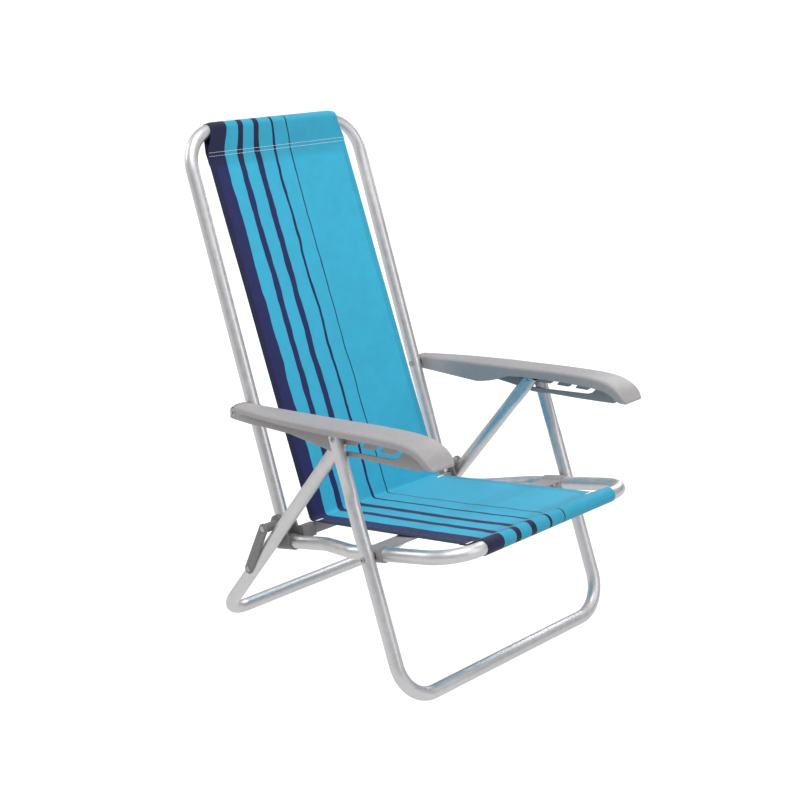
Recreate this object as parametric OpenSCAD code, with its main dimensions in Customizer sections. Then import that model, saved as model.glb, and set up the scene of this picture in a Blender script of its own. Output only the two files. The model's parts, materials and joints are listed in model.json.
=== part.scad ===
// Folding beach chair: bent aluminium tubes, moulded plastic joints and armrests, one cloth sling.
// +Z is up, the sitter faces -Y. The origin is on the ground, under the middle of the chair.

/* [Tube] */
// Outer diameter of every frame tube
tube_d = 22.2; // [19:0.1:25]
// Wall of the tube
tube_wall = 1.2; // [0.9:0.1:1.6]

/* [Front legs] */
// Running gap between the rear legs and the front legs
leg_gap = 0.8; // [0.4:0.1:3]
// Lean of the front legs, back from vertical
front_lean = 21.1; // [18:0.1:24]
// Length along the leg from the ground bar to the seat pivot
front_to_seat = 229.8; // [210:0.1:250]
// Length along the leg from the ground bar to the top pivot
front_to_top = 417.4; // [395:0.1:440]
// Bend radius of the front ground bar's corners
front_bend = 62; // [45:1:80]

/* [Rear legs] */
// Gap between the backrest tubes and the rear legs, where the armrests pass
rear_gap = 8.3; // [7:0.1:14]
// Slope of the rear legs from vertical
rear_lean = 37.9; // [33:0.1:42]
// Length along the rear leg from the top pivot to the link pivot
rear_to_link = 350; // [335:1:365]
// Bend radius of the rear ground bar's corners
rear_bend = 55; // [45:1:75]

/* [Seat] */
// Thickness of the spacers between the seat tubes and the front legs
spacer_t = 3.8; // [2:0.1:6]
// Rise of the seat towards its front edge
seat_tilt = 12.5; // [8:0.1:16]
// From the leg pivot forward to the front bar
seat_reach = 154.7; // [130:0.1:190]
// Bend radius of the front corners
seat_bend = 55; // [45:1:70]
// From the leg pivot back to where the seat tubes begin to splay
splay_start = 59; // [50:1:70]
// Length over which the seat tubes splay
splay_len = 87; // [80:1:95]

/* [Backrest] */
// Distance between the centre lines of the backrest tubes
back_w = 392; // [320:1:480]
// Lean of the backrest in its most upright notch
back_lean = 20.2; // [16:0.1:26]
// From the back hinge to the top bar
back_len = 661; // [560:1:800]
// Bend radius of the top corners
back_bend = 65; // [50:1:85]
// From the leg pivot back to the back hinge, along the seat
hinge_back = 243.8; // [235:0.1:260]
// Height of the back hinge above the seat tubes' centre line
hinge_up = 33; // [31:0.1:40]
// From the back hinge up to the armrest rivet
arm_rivet_up = 194.9; // [185:0.1:205]

/* [Armrests] */
// Overall length of an armrest
arm_len = 462; // [455:1:480]
// Width of an armrest at its widest
arm_w = 55.7; // [50:0.1:62]
// Wall of the armrest moulding
arm_wall = 3; // [2:0.1:3]
// Spacing of the four notches
notch_pitch = 40.3; // [38:0.1:41]
// Clearance of a leg pin in a notch
notch_gap = 0.6; // [0.3:0.1:1.5]

/* [Joints] */
// Diameter of the rivets at the pivots
rivet_d = 6; // [5:0.1:7]
// Diameter of the top pivot pins
pin_d = 8; // [6:0.1:10]
// Running clearance round a pivot, on the radius
run_gap = 0.05; // [0.02:0.01:0.1]
// Thickness of the folding links
link_t = 5; // [4:0.1:6]
// Height of the folding links
link_h = 17; // [14:0.1:18]

/* [Cloth] */
// Gap between the sling's edges and the backrest tubes
sling_gap = 24.9; // [10:0.1:50]
// Thickness of the sling
cloth_t = 1.4; // [1:0.1:2]

/* [Hidden] */

r = tube_d / 2;
bore_r = r - tube_wall;
cloth_gap = 0.3;
eps = 0.01;
aluminium = [0.80, 0.80, 0.80];
grey_plastic = [0.60, 0.60, 0.61];
turquoise = [0.16, 0.66, 0.80];
bright = [0.88, 0.88, 0.89];

// Centre lines of the tubes, as distances from the middle plane, each laid beside the last
back_x = back_w / 2;
rear_x = back_x + tube_d + rear_gap;
front_x = rear_x + tube_d + leg_gap;
seat_x = front_x - tube_d - spacer_t;
sling_w = back_w - tube_d - 2 * sling_gap;
notch_w = pin_d + notch_gap;

// Pivots in the side view, as [y, z] from the front ground bar's point of contact
seat_pivot = [front_to_seat * sin(front_lean), r + front_to_seat * cos(front_lean)];
top_pivot = [front_to_top * sin(front_lean), r + front_to_top * cos(front_lean)];
rear_leg_len = (top_pivot[1] - r) / cos(rear_lean);
hinge = seat_point(hinge_back, hinge_up);
link_pivot = top_pivot + rear_to_link * [sin(rear_lean), -cos(rear_lean)];
arm_rivet = hinge + arm_rivet_up * [sin(back_lean), cos(back_lean)];
top_bar = hinge + back_len * [sin(back_lean), cos(back_lean)];
front_bar = seat_point(-seat_reach, 0);
arm_rise = atan2(top_pivot[1] - arm_rivet[1], arm_rivet[0] - top_pivot[0]);
arm_reach = norm(top_pivot - arm_rivet);

// A point given along the seat tubes, back from the leg pivot, and square above them
function seat_point(back, up) = seat_pivot
    + back * [cos(seat_tilt), -sin(seat_tilt)] + up * [sin(seat_tilt), cos(seat_tilt)];

// The whole chair spans these limits front to back; the origin is midway
y_front = front_bar[0] - r - cloth_gap - cloth_t;
y_rear = top_bar[0] + r + cloth_gap + cloth_t;
y_mid = (y_front + y_rear) / 2;

// Flattened tops of the legs
flat_h = tube_d + 1.8;
front_flat_t = 14.6;
front_flat_len = 80;
rear_flat_t = 18;
rear_flat_len = 46;
flat_blend = 20;
slice = 0.4;
leg_over = 6;
end_gap = 0.4;

// Sideways layout, as distances from the middle plane
cheek_gap = 0.5;
cheek_t = 3.5;
cheek_in = back_x - r - cheek_gap;
cheek_out = back_x + r + cheek_gap;
arm_in = back_x + r + 1.2;
rack_in = rear_x + r + 0.3;
rack_out = rack_in + arm_wall;
arm_out = arm_in + arm_w;
front_flat_x = rack_out + 0.5 + front_flat_t / 2;
rear_flat_x = rear_x - r + 2.2 + rear_flat_t / 2;
link_in = rear_x + r + 0.5;
link_out = link_in + link_t;
head_r = rivet_d / 2 + 2;
pin_head_r = pin_d / 2 + 1;
head_t = 1.5;
head_gap = 0.1;
rivet_r = rivet_d / 2;
pin_r = pin_d / 2;

// Rear connector, in the seat's own directions
sleeve_r = r + 2.2;
sleeve_front = hinge_back - 22;
sleeve_back = hinge_back + 17;
tube_end = sleeve_back - 3;
cheek_r = 15;
// The boss at the hinge is as stout as the room in front of the rear leg allows
leg_room = abs((hinge[0] - top_pivot[0]) * cos(rear_lean) + (hinge[1] - top_pivot[1]) * sin(rear_lean));
boss_r = min(7.5, leg_room - r - 0.4);
bar_back = hinge_back - 26;
bar_up = hinge_up - 20;
bar_h = 18;
bar_t = 6;
hub_w = 24;
back_end = 12;

crease_back = hinge_back - 28;
crease_up = hinge_up - 8;
strap_back = 7;
strap_w = 40;
strap_t = 3.6;
strap_up = 5;
clamp_r = r + 2.3;
spacer_r = 5.2;

$fn = 48;

// ---------- helpers ----------
module at_side(p) translate([0, p[0], p[1]]) children();

// A cylinder along X between two distances from the middle plane, at a side-view point
module cross_pin(p, x0, x1, radius) at_side(p) translate([x0, 0, 0]) rotate([0, 90, 0])
    cylinder(r = radius, h = x1 - x0);

module both_sides() { children(); mirror([1, 0, 0]) children(); }

// A side-view outline, [y, z] points, made into a plate from x0 to x1
module side_plate(points, x0, x1) translate([x0, 0, 0]) rotate([90, 0, 90])
    linear_extrude(x1 - x0) polygon(points);

// A rod bent into a U in the XZ plane: the bar lies along X at z = 0 and the legs rise
module u_rod(half_w, bend, leg, rad) {
    translate([-(half_w - bend), 0, 0]) rotate([0, 90, 0]) cylinder(r = rad, h = 2 * (half_w - bend));
    both_sides() {
        translate([half_w - bend, 0, bend]) rotate([90, 0, 0]) rotate([0, 0, -90])
            rotate_extrude(angle = 90) translate([bend, 0]) circle(r = rad);
        translate([half_w, 0, bend]) cylinder(r = rad, h = leg - bend);
    }
}

module u_tube(half_w, bend, leg) difference() {
    u_rod(half_w, bend, leg, r);
    u_rod(half_w, bend, leg + eps, bore_r);
}

module stadium(w, t) {
    square([t, w - t], center = true);
    for (s = [-1, 1]) translate([0, s * (w - t) / 2]) circle(d = t);
}

// The pressed top of a leg: an oval box from z0 to z1 and a blend down to the round tube
module pressed(inset, x_round, x_flat, t, z0, z1) {
    translate([x_flat, 0, z0]) linear_extrude(z1 - z0) stadium(flat_h - 2 * inset, t - 2 * inset);
    hull() {
        translate([x_flat, 0, z0 - slice]) linear_extrude(slice, $fn = 32)
            stadium(flat_h - 2 * inset, t - 2 * inset);
        translate([x_round, 0, z0 - flat_blend]) cylinder(r = r - inset, h = slice, $fn = 32);
    }
}

// ---------- frame tubes ----------
module front_leg_frame() color(aluminium) difference() {
    at_side([0, r]) rotate([-front_lean, 0, 0]) {
        round_top = front_to_top - front_flat_len - flat_blend;
        u_tube(front_x, front_bend, round_top);
        both_sides() difference() {
            pressed(0, front_x, front_flat_x, front_flat_t, round_top + flat_blend,
                front_to_top + leg_over);
            pressed(tube_wall, front_x, front_flat_x, front_flat_t, round_top + flat_blend,
                front_to_top + leg_over + eps);
        }
    }
    both_sides() {
        cross_pin(seat_pivot, front_x - r - 1, front_x + r + 1, rivet_r + run_gap);
        cross_pin(top_pivot, rack_out, front_x + r + 1, pin_r);
    }
}

module rear_leg_frame() color(aluminium) difference() {
    at_side(top_pivot) rotate([180 + rear_lean, 0, 0]) rotate([0, 0, 180]) translate([0, 0, rear_leg_len])
        mirror([0, 0, 1]) {
            round_top = rear_leg_len - rear_flat_len - flat_blend;
            u_tube(rear_x, rear_bend, round_top);
            both_sides() difference() {
                pressed(0, rear_x, rear_flat_x, rear_flat_t, round_top + flat_blend,
                    rear_leg_len + leg_over);
                pressed(tube_wall, rear_x, rear_flat_x, rear_flat_t, round_top + flat_blend,
                    rear_leg_len + leg_over + eps);
            }
        }
    both_sides() {
        cross_pin(top_pivot, rear_x - r - 1, rack_in, pin_r);
        cross_pin(link_pivot, rear_x - r - 1, rear_x + r + 1, rivet_r);
    }
}

module backrest_frame() color(aluminium) difference() {
    at_side(top_bar) rotate([-back_lean, 0, 0]) mirror([0, 0, 1])
        u_tube(back_x, back_bend, back_len + back_end);
    both_sides() {
        cross_pin(hinge, back_x - r - 1, back_x + r + 1, rivet_r + run_gap);
        cross_pin(arm_rivet, back_x - r - 1, back_x + r + 1, rivet_r + run_gap);
    }
}

// One rod of the seat frame: front bar, two straight sides, and the splay in to the rear
module seat_rod(rad, extra) {
    splay = atan2(seat_x - back_x, splay_len);
    over = rad * tan(splay / 2);
    at_side(seat_pivot) rotate([-90 - seat_tilt, 0, 0]) {
        translate([0, 0, -seat_reach]) u_rod(seat_x, seat_bend, seat_reach + splay_start + over, rad);
        both_sides() {
            translate([seat_x, 0, splay_start]) rotate([0, -splay, 0]) translate([0, 0, -over])
                cylinder(r = rad, h = norm([seat_x - back_x, splay_len]) + 2 * over);
            translate([back_x, 0, splay_start + splay_len - over])
                cylinder(r = rad, h = tube_end - splay_start - splay_len + over + extra);
        }
    }
}

module seat_frame() color(aluminium) difference() {
    seat_rod(r, 0);
    seat_rod(bore_r, eps);
    both_sides() cross_pin(seat_pivot, seat_x - r - 1, seat_x + r + 1, rivet_r + run_gap);
}

// ---------- rear connectors ----------
// Everything here is drawn in the seat's directions: x' back along the seat, y' square above it
module seat_plate(x0, x1) at_side(seat_pivot) rotate([-seat_tilt, 0, 0]) translate([x0, 0, 0])
    rotate([90, 0, 90]) linear_extrude(x1 - x0) children();

module cheek_outline(front) {
    translate([hinge_back, hinge_up]) circle(r = cheek_r);
    polygon([[hinge_back - cheek_r, hinge_up], [sleeve_front, sleeve_r - 3], [sleeve_front, -2],
        [sleeve_back, -2], [hinge_back + cheek_r, hinge_up]]);
    if (front) translate([bar_back - bar_t / 2 - 3, bar_up - bar_h / 2 - 2])
        square([hinge_back - bar_back, bar_h + 4]);
}

module rear_connector() color(grey_plastic) difference() {
    union() {
        at_side(seat_pivot) rotate([-90 - seat_tilt, 0, 0]) translate([back_x, 0, sleeve_front])
            cylinder(r = sleeve_r, h = sleeve_back - sleeve_front);
        seat_plate(cheek_out, cheek_out + cheek_t) cheek_outline(false);
        seat_plate(cheek_in - cheek_t, cheek_in) cheek_outline(true);
        seat_plate(cheek_in - cheek_t - hub_w, cheek_in - cheek_t)
            translate([bar_back - bar_t / 2 - 3, bar_up - bar_h / 2 - 2]) square([bar_t + 6, bar_h + 4]);
        cross_pin(hinge, cheek_out + cheek_t, link_in - end_gap, boss_r);
    }
    at_side(seat_pivot) rotate([-90 - seat_tilt, 0, 0]) translate([back_x, 0, sleeve_front - 1])
        cylinder(r = r, h = tube_end - sleeve_front + 1);
    cross_pin(hinge, cheek_in - cheek_t - 1, link_in, rivet_r + run_gap);
    seat_plate(cheek_in - cheek_t - hub_w - 1, cheek_in - cheek_t - 4)
        translate([bar_back - bar_t / 2, bar_up - bar_h / 2]) square([bar_t, bar_h]);
}

module rear_connector_right() mirror([1, 0, 0]) rear_connector();
module rear_connector_left() rear_connector();

module rear_cross_bar() color(grey_plastic) seat_plate(-(cheek_in - cheek_t - 4), cheek_in - cheek_t - 4)
    translate([bar_back - bar_t / 2, bar_up - bar_h / 2]) square([bar_t, bar_h]);

// ---------- seat strap and leg pivots ----------
module seat_cross_strap() color(grey_plastic) difference() {
    union() {
        seat_plate(-(seat_x - r), seat_x - r) translate([strap_back - strap_w / 2, strap_up])
            square([strap_w, strap_t]);
        both_sides() at_side(seat_pivot) rotate([-90 - seat_tilt, 0, 0])
            translate([seat_x, 0, strap_back - strap_w / 2]) cylinder(r = clamp_r, h = strap_w);
    }
    both_sides() {
        at_side(seat_pivot) rotate([-90 - seat_tilt, 0, 0])
            translate([seat_x, 0, strap_back - strap_w / 2 - 1]) cylinder(r = r, h = strap_w + 2);
        cross_pin(seat_pivot, seat_x - r - 6, front_x, spacer_r + 0.6);
    }
}

module seat_pivot_spacers() color(bright) both_sides() difference() {
    cross_pin(seat_pivot, seat_x + r + eps, front_x - r - head_gap, spacer_r);
    cross_pin(seat_pivot, seat_x, front_x, rivet_r + run_gap);
}

module seat_pivot_rivets() color(bright) both_sides() {
    cross_pin(seat_pivot, seat_x - r - head_gap, front_x + r + head_gap, rivet_r);
    cross_pin(seat_pivot, front_x + r + head_gap, front_x + r + head_gap + head_t, head_r);
    cross_pin(seat_pivot, seat_x - r - head_gap - head_t, seat_x - r - head_gap, head_r);
}

// ---------- top pivot, one half of the pin in each leg ----------
module top_pins_outer() color(bright) both_sides() {
    outer = front_flat_x + front_flat_t / 2;
    cross_pin(top_pivot, rack_out + end_gap, outer, pin_r);
    cross_pin(top_pivot, outer, outer + head_t, pin_head_r);
}

module top_pins_inner() color(bright) both_sides() {
    inner = rear_flat_x - rear_flat_t / 2;
    cross_pin(top_pivot, inner, rack_in - end_gap, pin_r);
    cross_pin(top_pivot, inner - head_t, inner, pin_head_r);
}

// ---------- folding links ----------
link_dir = link_pivot - hinge;

module link_right() mirror([1, 0, 0]) link_left();
module link_left() color(grey_plastic) difference() {
    at_side(hinge) rotate([atan2(link_dir[1], link_dir[0]), 0, 0]) translate([link_in, 0, 0])
        rotate([90, 0, 90]) linear_extrude(link_t) {
            translate([0, -link_h / 2]) square([norm(link_dir), link_h]);
            for (y = [0, norm(link_dir)]) translate([y, 0]) circle(d = link_h);
        }
    cross_pin(hinge, link_in - 1, link_out + 1, rivet_r + run_gap);
    cross_pin(link_pivot, link_in - 1, link_out + 1, rivet_r);
}

module link_rivet_right() mirror([1, 0, 0]) link_rivet_left();
module link_rivet_left() color(bright) {
    cross_pin(link_pivot, link_in, link_out, rivet_r);
    cross_pin(link_pivot, link_out, link_out + head_t, head_r);
}

module link_rivets_inner() color(bright) both_sides() {
    cross_pin(link_pivot, rear_x - r - head_gap, rear_x + r, rivet_r);
    cross_pin(link_pivot, rear_x - r - head_gap - head_t, rear_x - r - head_gap, head_r);
}

module back_hinge_pins() color(bright) both_sides() {
    inner = cheek_in - cheek_t - head_gap;
    outer = link_out + head_gap;
    cross_pin(hinge, inner, outer, rivet_r);
    cross_pin(hinge, inner - head_t, inner, head_r);
    cross_pin(hinge, outer, outer + head_t, head_r);
}

// ---------- armrests ----------
// Drawn from the rivet: u runs forward along the line to the top pivot, v square above it
arm_nose = arm_len - 10;
lip_drop = 10;
function arm_top(u) = 11.5 + 6.5 * sin(90 * min(1, max(0, u / 300)));
nose_drop = 44;
arm_top_line = concat([for (u = [-10 : 45 : 350]) [u, arm_top(u)]],
    [for (a = [0 : 15 : 75]) [arm_nose - nose_drop * 1.5 * (1 - sin(a)), arm_top(300) - 30 * (1 - cos(a))]],
    [[arm_nose, arm_top(300) - 30]]);
function lowered(line, drop) = [for (i = [len(line) - 1 : -1 : 0]) line[i] - [0, drop]];
inner_edge = [[arm_nose - 24, -21], [arm_nose - 44, 1], [380, 5.5], [280, 5.5], [arm_reach - 9, 4.5],
    [arm_reach - 38, 1], [arm_reach - 57, -6], [arm_reach - 76, -12], [arm_reach - 106, -16], [69, -14.3],
    [-10, -9.5]];
rack_edge = [[arm_nose - 38, -4], [arm_nose - 47, -19.5], [arm_reach + 3 * notch_pitch - 4, -21.5],
    [arm_reach - 5, -26], [arm_reach - 21, -24.5], [arm_reach - 75, -17], [arm_reach - 112, -12.5],
    [43, -11.3], [-10, -10.5]];
tooth_low = -10.5;

function mirrored_u(points) = [for (p = points) [-p[0], p[1]]];

// A plate in the armrest's directions between two distances from the middle plane
module arm_plate(points, x0, x1) at_side(arm_rivet) rotate([-arm_rise, 0, 0])
    side_plate(mirrored_u(points), x0, x1);

// The armrest seen from above: straight inside edge, outside edge that flares forward
plan_wide = arm_w;
plan = [[-10, 0], [-10, 28], [0, 33], [30, 40], [70, 46], [120, 50.5], [180, plan_wide - 2], [250, plan_wide],
    [arm_nose - 70, plan_wide], [arm_nose - 35, plan_wide - 3], [arm_nose - 15, plan_wide - 13],
    [arm_nose, plan_wide - 30], [arm_nose - 7, 12], [arm_nose - 24, 3], [arm_nose - 50, 0]];

module arm_plan(inset) at_side(arm_rivet) rotate([-arm_rise, 0, 0]) translate([arm_in, 0, -60])
    linear_extrude(120) mirror([0, 1]) offset(delta = -inset) polygon([for (p = plan) [p[1], p[0]]]);

module arm_block(drop) arm_plate(concat(arm_top_line, lowered(arm_top_line, drop)), arm_in - 1, arm_out + 1);

module arm_hollow() arm_plate(concat(lowered(arm_top_line, arm_wall), [[-20, -40], [arm_nose + 10, -40]]),
    arm_in - 1, arm_out + 1);

notch_lean = 12;
notch_drop = tooth_low - 3;
notch_shape = concat([for (a = [0 : 15 : 180]) notch_w / 2 * [cos(a + notch_lean), sin(a + notch_lean)]],
    [for (side = [-1, 1]) [side * notch_w / 2 + notch_drop * tan(notch_lean), notch_drop]]);
module rack_cuts() {
    slot_low = -19.5;
    arm_plate([[arm_reach - 9, tooth_low], [arm_reach - 9, slot_low - 1],
        [arm_reach + 3 * notch_pitch + 4, slot_low + 3.5], [arm_reach + 3 * notch_pitch + 6, tooth_low]],
        rack_in - 1, rack_out + 1);
    for (i = [0 : 3])
        arm_plate([for (p = notch_shape) [arm_reach + i * notch_pitch, 0] + p], rack_in - 1, rack_out + 1);
}

module armrest_body() difference() {
    union() {
        difference() {
            intersection() {
                arm_block(lip_drop);
                arm_plan(0);
            }
            intersection() {
                arm_hollow();
                arm_plan(arm_wall);
            }
        }
        arm_plate(concat([for (p = arm_top_line) if (p[0] < arm_nose - 12) p - [0, 1]], inner_edge),
            arm_in, arm_in + arm_wall);
        difference() {
            arm_plate(concat([for (p = arm_top_line) if (p[0] < arm_nose - 38) p - [0, 1]], rack_edge),
                rack_in, rack_out);
            rack_cuts();
        }
    }
    cross_pin(arm_rivet, arm_in - 1, rack_out + 1, rivet_r + run_gap);
    cross_pin(arm_rivet, rack_out, arm_out, head_r + 0.6);
}

module armrest_left() color(grey_plastic) armrest_body();
module armrest_right() color(grey_plastic) mirror([1, 0, 0]) armrest_body();

module armrest_rivets() color(bright) both_sides() {
    inner = back_x - r - head_gap;
    outer = rack_out + head_gap;
    cross_pin(arm_rivet, inner, outer, rivet_r);
    cross_pin(arm_rivet, inner - head_t, inner, head_r);
    cross_pin(arm_rivet, outer, outer + head_t, head_r);
}

module armrest_washers() color(bright) both_sides() difference() {
    cross_pin(arm_rivet, back_x + r + head_gap, arm_in - head_gap, 7);
    cross_pin(arm_rivet, back_x, arm_in + 1, rivet_r + run_gap);
}

// ---------- sling ----------
// A flat panel between two side-view points
module panel(p0, p1, half_w) {
    d = p1 - p0;
    at_side(p0) rotate([atan2(d[1], d[0]), 0, 0]) translate([-half_w, 0, -cloth_t / 2])
        cube([2 * half_w, norm(d), cloth_t]);
}

module pocket(p, half_w) difference() {
    cross_pin(p, -half_w, half_w, r + cloth_gap + cloth_t);
    cross_pin(p, -half_w - 1, half_w + 1, r + cloth_gap);
}

// The part of a panel that stops at the pocket round a bar
module hung(p0, p1, half_w, pocket_w) {
    d = (p1 - p0) / norm(p1 - p0);
    panel(p0, p1 - d * (r + cloth_gap + cloth_t / 2), half_w);
    pocket(p1, pocket_w);
}

crease = seat_point(crease_back, crease_up);
back_foot = crease + 60 * (top_bar - crease) / norm(top_bar - crease);

module sling_seat() color(turquoise) difference() {
    hung(crease, front_bar, sling_w / 2, min(sling_w / 2 - 4, seat_x - seat_bend - 2));
    cross_pin(front_bar, -seat_x, seat_x, r + cloth_gap);
}

module sling_back() color(turquoise) difference() {
    hung(back_foot, top_bar, sling_w / 2, back_x - back_bend - 2);
    at_side(top_bar) rotate([-back_lean, 0, 0]) mirror([0, 0, 1])
        u_rod(back_x, back_bend, back_len, r + cloth_gap);
}

translate([0, -y_mid, 0]) {
    seat_frame();
    rear_connector_left();
    rear_connector_right();
    rear_cross_bar();
    seat_cross_strap();
    seat_pivot_rivets();
    seat_pivot_spacers();
    sling_seat();
    front_leg_frame();
    top_pins_outer();
    rear_leg_frame();
    top_pins_inner();
    link_rivets_inner();
    back_hinge_pins();
    backrest_frame();
    sling_back();
    link_left();
    link_right();
    link_rivet_left();
    link_rivet_right();
    armrest_rivets();
    armrest_washers();
    armrest_left();
    armrest_right();
}
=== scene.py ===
import json
import math

import bmesh
import bpy
from mathutils import Matrix, Vector, noise


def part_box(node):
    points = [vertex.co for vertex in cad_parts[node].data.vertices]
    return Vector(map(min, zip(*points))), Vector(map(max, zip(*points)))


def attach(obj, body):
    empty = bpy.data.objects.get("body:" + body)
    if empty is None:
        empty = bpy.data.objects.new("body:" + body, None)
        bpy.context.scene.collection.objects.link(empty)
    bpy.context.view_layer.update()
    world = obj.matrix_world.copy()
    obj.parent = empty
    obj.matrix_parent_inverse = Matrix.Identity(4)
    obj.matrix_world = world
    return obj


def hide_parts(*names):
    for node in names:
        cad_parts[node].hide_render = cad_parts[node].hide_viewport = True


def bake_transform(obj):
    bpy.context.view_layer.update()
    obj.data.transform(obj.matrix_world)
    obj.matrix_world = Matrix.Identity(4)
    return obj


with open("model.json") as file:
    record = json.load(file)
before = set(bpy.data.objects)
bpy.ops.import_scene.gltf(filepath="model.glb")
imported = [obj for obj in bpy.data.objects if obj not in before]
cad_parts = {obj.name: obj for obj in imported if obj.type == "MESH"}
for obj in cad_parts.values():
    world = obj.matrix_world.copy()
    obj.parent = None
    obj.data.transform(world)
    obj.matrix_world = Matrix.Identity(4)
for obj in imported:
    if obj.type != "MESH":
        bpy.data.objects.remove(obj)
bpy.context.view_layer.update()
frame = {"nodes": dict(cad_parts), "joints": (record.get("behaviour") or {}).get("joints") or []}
scene = bpy.context.scene
mm = 0.001

# Places come from the frame: the pivots from its joints, the bars from its tubes' boxes
pivot = {j["name"]: Vector(j["pos_m"]) for j in frame["joints"]}
backHinge = pivot["recline"]
legPivot = pivot["front_legs_fold"]
topPivot = pivot["rear_legs_fold"]
armPivot = pivot["lift_left"]
# in mm, with the rings' spacing at the ends and between them, and degrees between rings in a bend
tube = {"radius": 11.1, "wall": 1.2, "sides": 40, "endStep": 6, "longStep": 40, "turnStep": 4,
        "boreDepth": 24, "dimpleReach": 8}
tubeR = tube["radius"] * mm


def barOf(node, rear, high):  # centre line of a tube frame's cross bar, in the side view
    low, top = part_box(node)
    return Vector((0, top.y - tubeR if rear else low.y + tubeR, top.z - tubeR if high else low.z + tubeR))


def halfWidth(node):
    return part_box(node)[1].x - tubeR


topBar = barOf("backrest_frame", True, True)
seatBar = barOf("seat_frame", False, True)
frontFoot = barOf("front_leg_frame", False, False)
rearFoot = barOf("rear_leg_frame", True, False)


def smooth(t):
    t = min(1.0, max(0.0, t))
    return t * t * (3 - 2 * t)


def along(table, value):  # straight lines between a table's points
    for (a, p), (b, q) in zip(table, table[1:]):
        if value <= b:
            return p + (q - p) * max(0.0, (value - a) / (b - a))
    return table[-1][1]


def newPiece(name, verts, faces, uvs=None):
    mesh = bpy.data.meshes.new(name)
    mesh.from_pydata([tuple(v) for v in verts], [], faces)
    if uvs is not None:
        layer = mesh.uv_layers.new(name="UVMap")
        for loop in mesh.loops:
            layer.data[loop.index].uv = uvs[loop.vertex_index]
    mesh.validate()
    piece = bpy.data.objects.new(name, mesh)
    scene.collection.objects.link(piece)
    return piece


def applyModifiers(piece):
    bpy.context.view_layer.update()
    evaluated = piece.evaluated_get(bpy.context.evaluated_depsgraph_get())
    mesh = bpy.data.meshes.new_from_object(evaluated)
    piece.modifiers.clear()
    piece.data = mesh
    return piece


def shade(piece, angle=35):  # smooth, with edges sharper than the angle kept
    bm = bmesh.new()
    bm.from_mesh(piece.data)
    for face in bm.faces:
        face.smooth = True
    for edge in bm.edges:
        edge.smooth = len(edge.link_faces) == 2 and edge.calc_face_angle(0) < math.radians(angle)
    bm.to_mesh(piece.data)
    bm.free()


def finish(piece, body, material, angle=35, replaced=()):
    piece.data.materials.clear()
    piece.data.materials.append(material)
    for face in piece.data.polygons:
        face.material_index = 0
    shade(piece, angle)
    if replaced:
        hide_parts(*replaced)
    if body:
        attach(piece, body)
    return piece


def joined(name, pieces):
    bm = bmesh.new()
    for piece in pieces:
        bm.from_mesh(piece.data)
        bpy.data.objects.remove(piece)
    mesh = bpy.data.meshes.new(name)
    bm.to_mesh(mesh)
    bm.free()
    whole = bpy.data.objects.new(name, mesh)
    scene.collection.objects.link(whole)
    return whole


def softened(node, name, width, angle=28):  # a copy of a moulded part with its edges rounded
    mesh = frame["nodes"][node].data.copy()
    mesh.materials.clear()
    bm = bmesh.new()
    bm.from_mesh(mesh)
    bmesh.ops.remove_doubles(bm, verts=bm.verts, dist=0.00001)
    bmesh.ops.dissolve_limit(bm, angle_limit=math.radians(0.6), verts=bm.verts, edges=bm.edges)
    bmesh.ops.recalc_face_normals(bm, faces=bm.faces)
    for layer in list(bm.loops.layers.uv):
        bm.loops.layers.uv.remove(layer)
    bm.to_mesh(mesh)
    bm.free()
    piece = bpy.data.objects.new(name, mesh)
    scene.collection.objects.link(piece)
    bevel = piece.modifiers.new("roundEdges", "BEVEL")
    bevel.width = width * mm
    bevel.segments = 3
    bevel.limit_method = "ANGLE"
    bevel.angle_limit = math.radians(angle)
    bevel.use_clamp_overlap = True
    return applyModifiers(piece)


def newMaterial(name):
    material = bpy.data.materials.new(name)
    material.use_nodes = True
    nodes, links = material.node_tree.nodes, material.node_tree.links
    shader = nodes["Principled BSDF"]
    return material, nodes, links, shader


def addNode(nodes, kind, **values):
    made = nodes.new(kind)
    for key, value in values.items():
        setattr(made, key, value)
    return made


def ramp(nodes, links, source, stops, smoothly=False):
    made = nodes.new("ShaderNodeValToRGB")
    if smoothly:
        made.color_ramp.interpolation = "EASE"
    while len(made.color_ramp.elements) < len(stops):
        made.color_ramp.elements.new(0.5)
    for element, (at, value) in zip(made.color_ramp.elements, stops):
        element.position = at
        element.color = (*value, 1) if isinstance(value, tuple) else (value, value, value, 1)
    links.new(source, made.inputs["Fac"])
    return made.outputs["Color"]


def mathNode(nodes, links, operation, a, b=None, c=None, clamp=False):
    made = nodes.new("ShaderNodeMath")
    made.operation = operation
    made.use_clamp = clamp
    for index, value in enumerate((a, b, c)):
        if value is None:
            continue
        if isinstance(value, (int, float)):
            made.inputs[index].default_value = value
        else:
            links.new(value, made.inputs[index])
    return made.outputs[0]


def mixColour(nodes, links, factor, a, b, blend="MIX"):
    made = nodes.new("ShaderNodeMix")
    made.data_type = "RGBA"
    made.blend_type = blend
    for socket, value in ((0, factor), (6, a), (7, b)):
        if isinstance(value, bpy.types.NodeSocket):
            links.new(value, made.inputs[socket])
        elif isinstance(value, tuple):
            made.inputs[socket].default_value = (*value, 1)
        else:
            made.inputs[socket].default_value = value
    return made.outputs[2]


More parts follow.
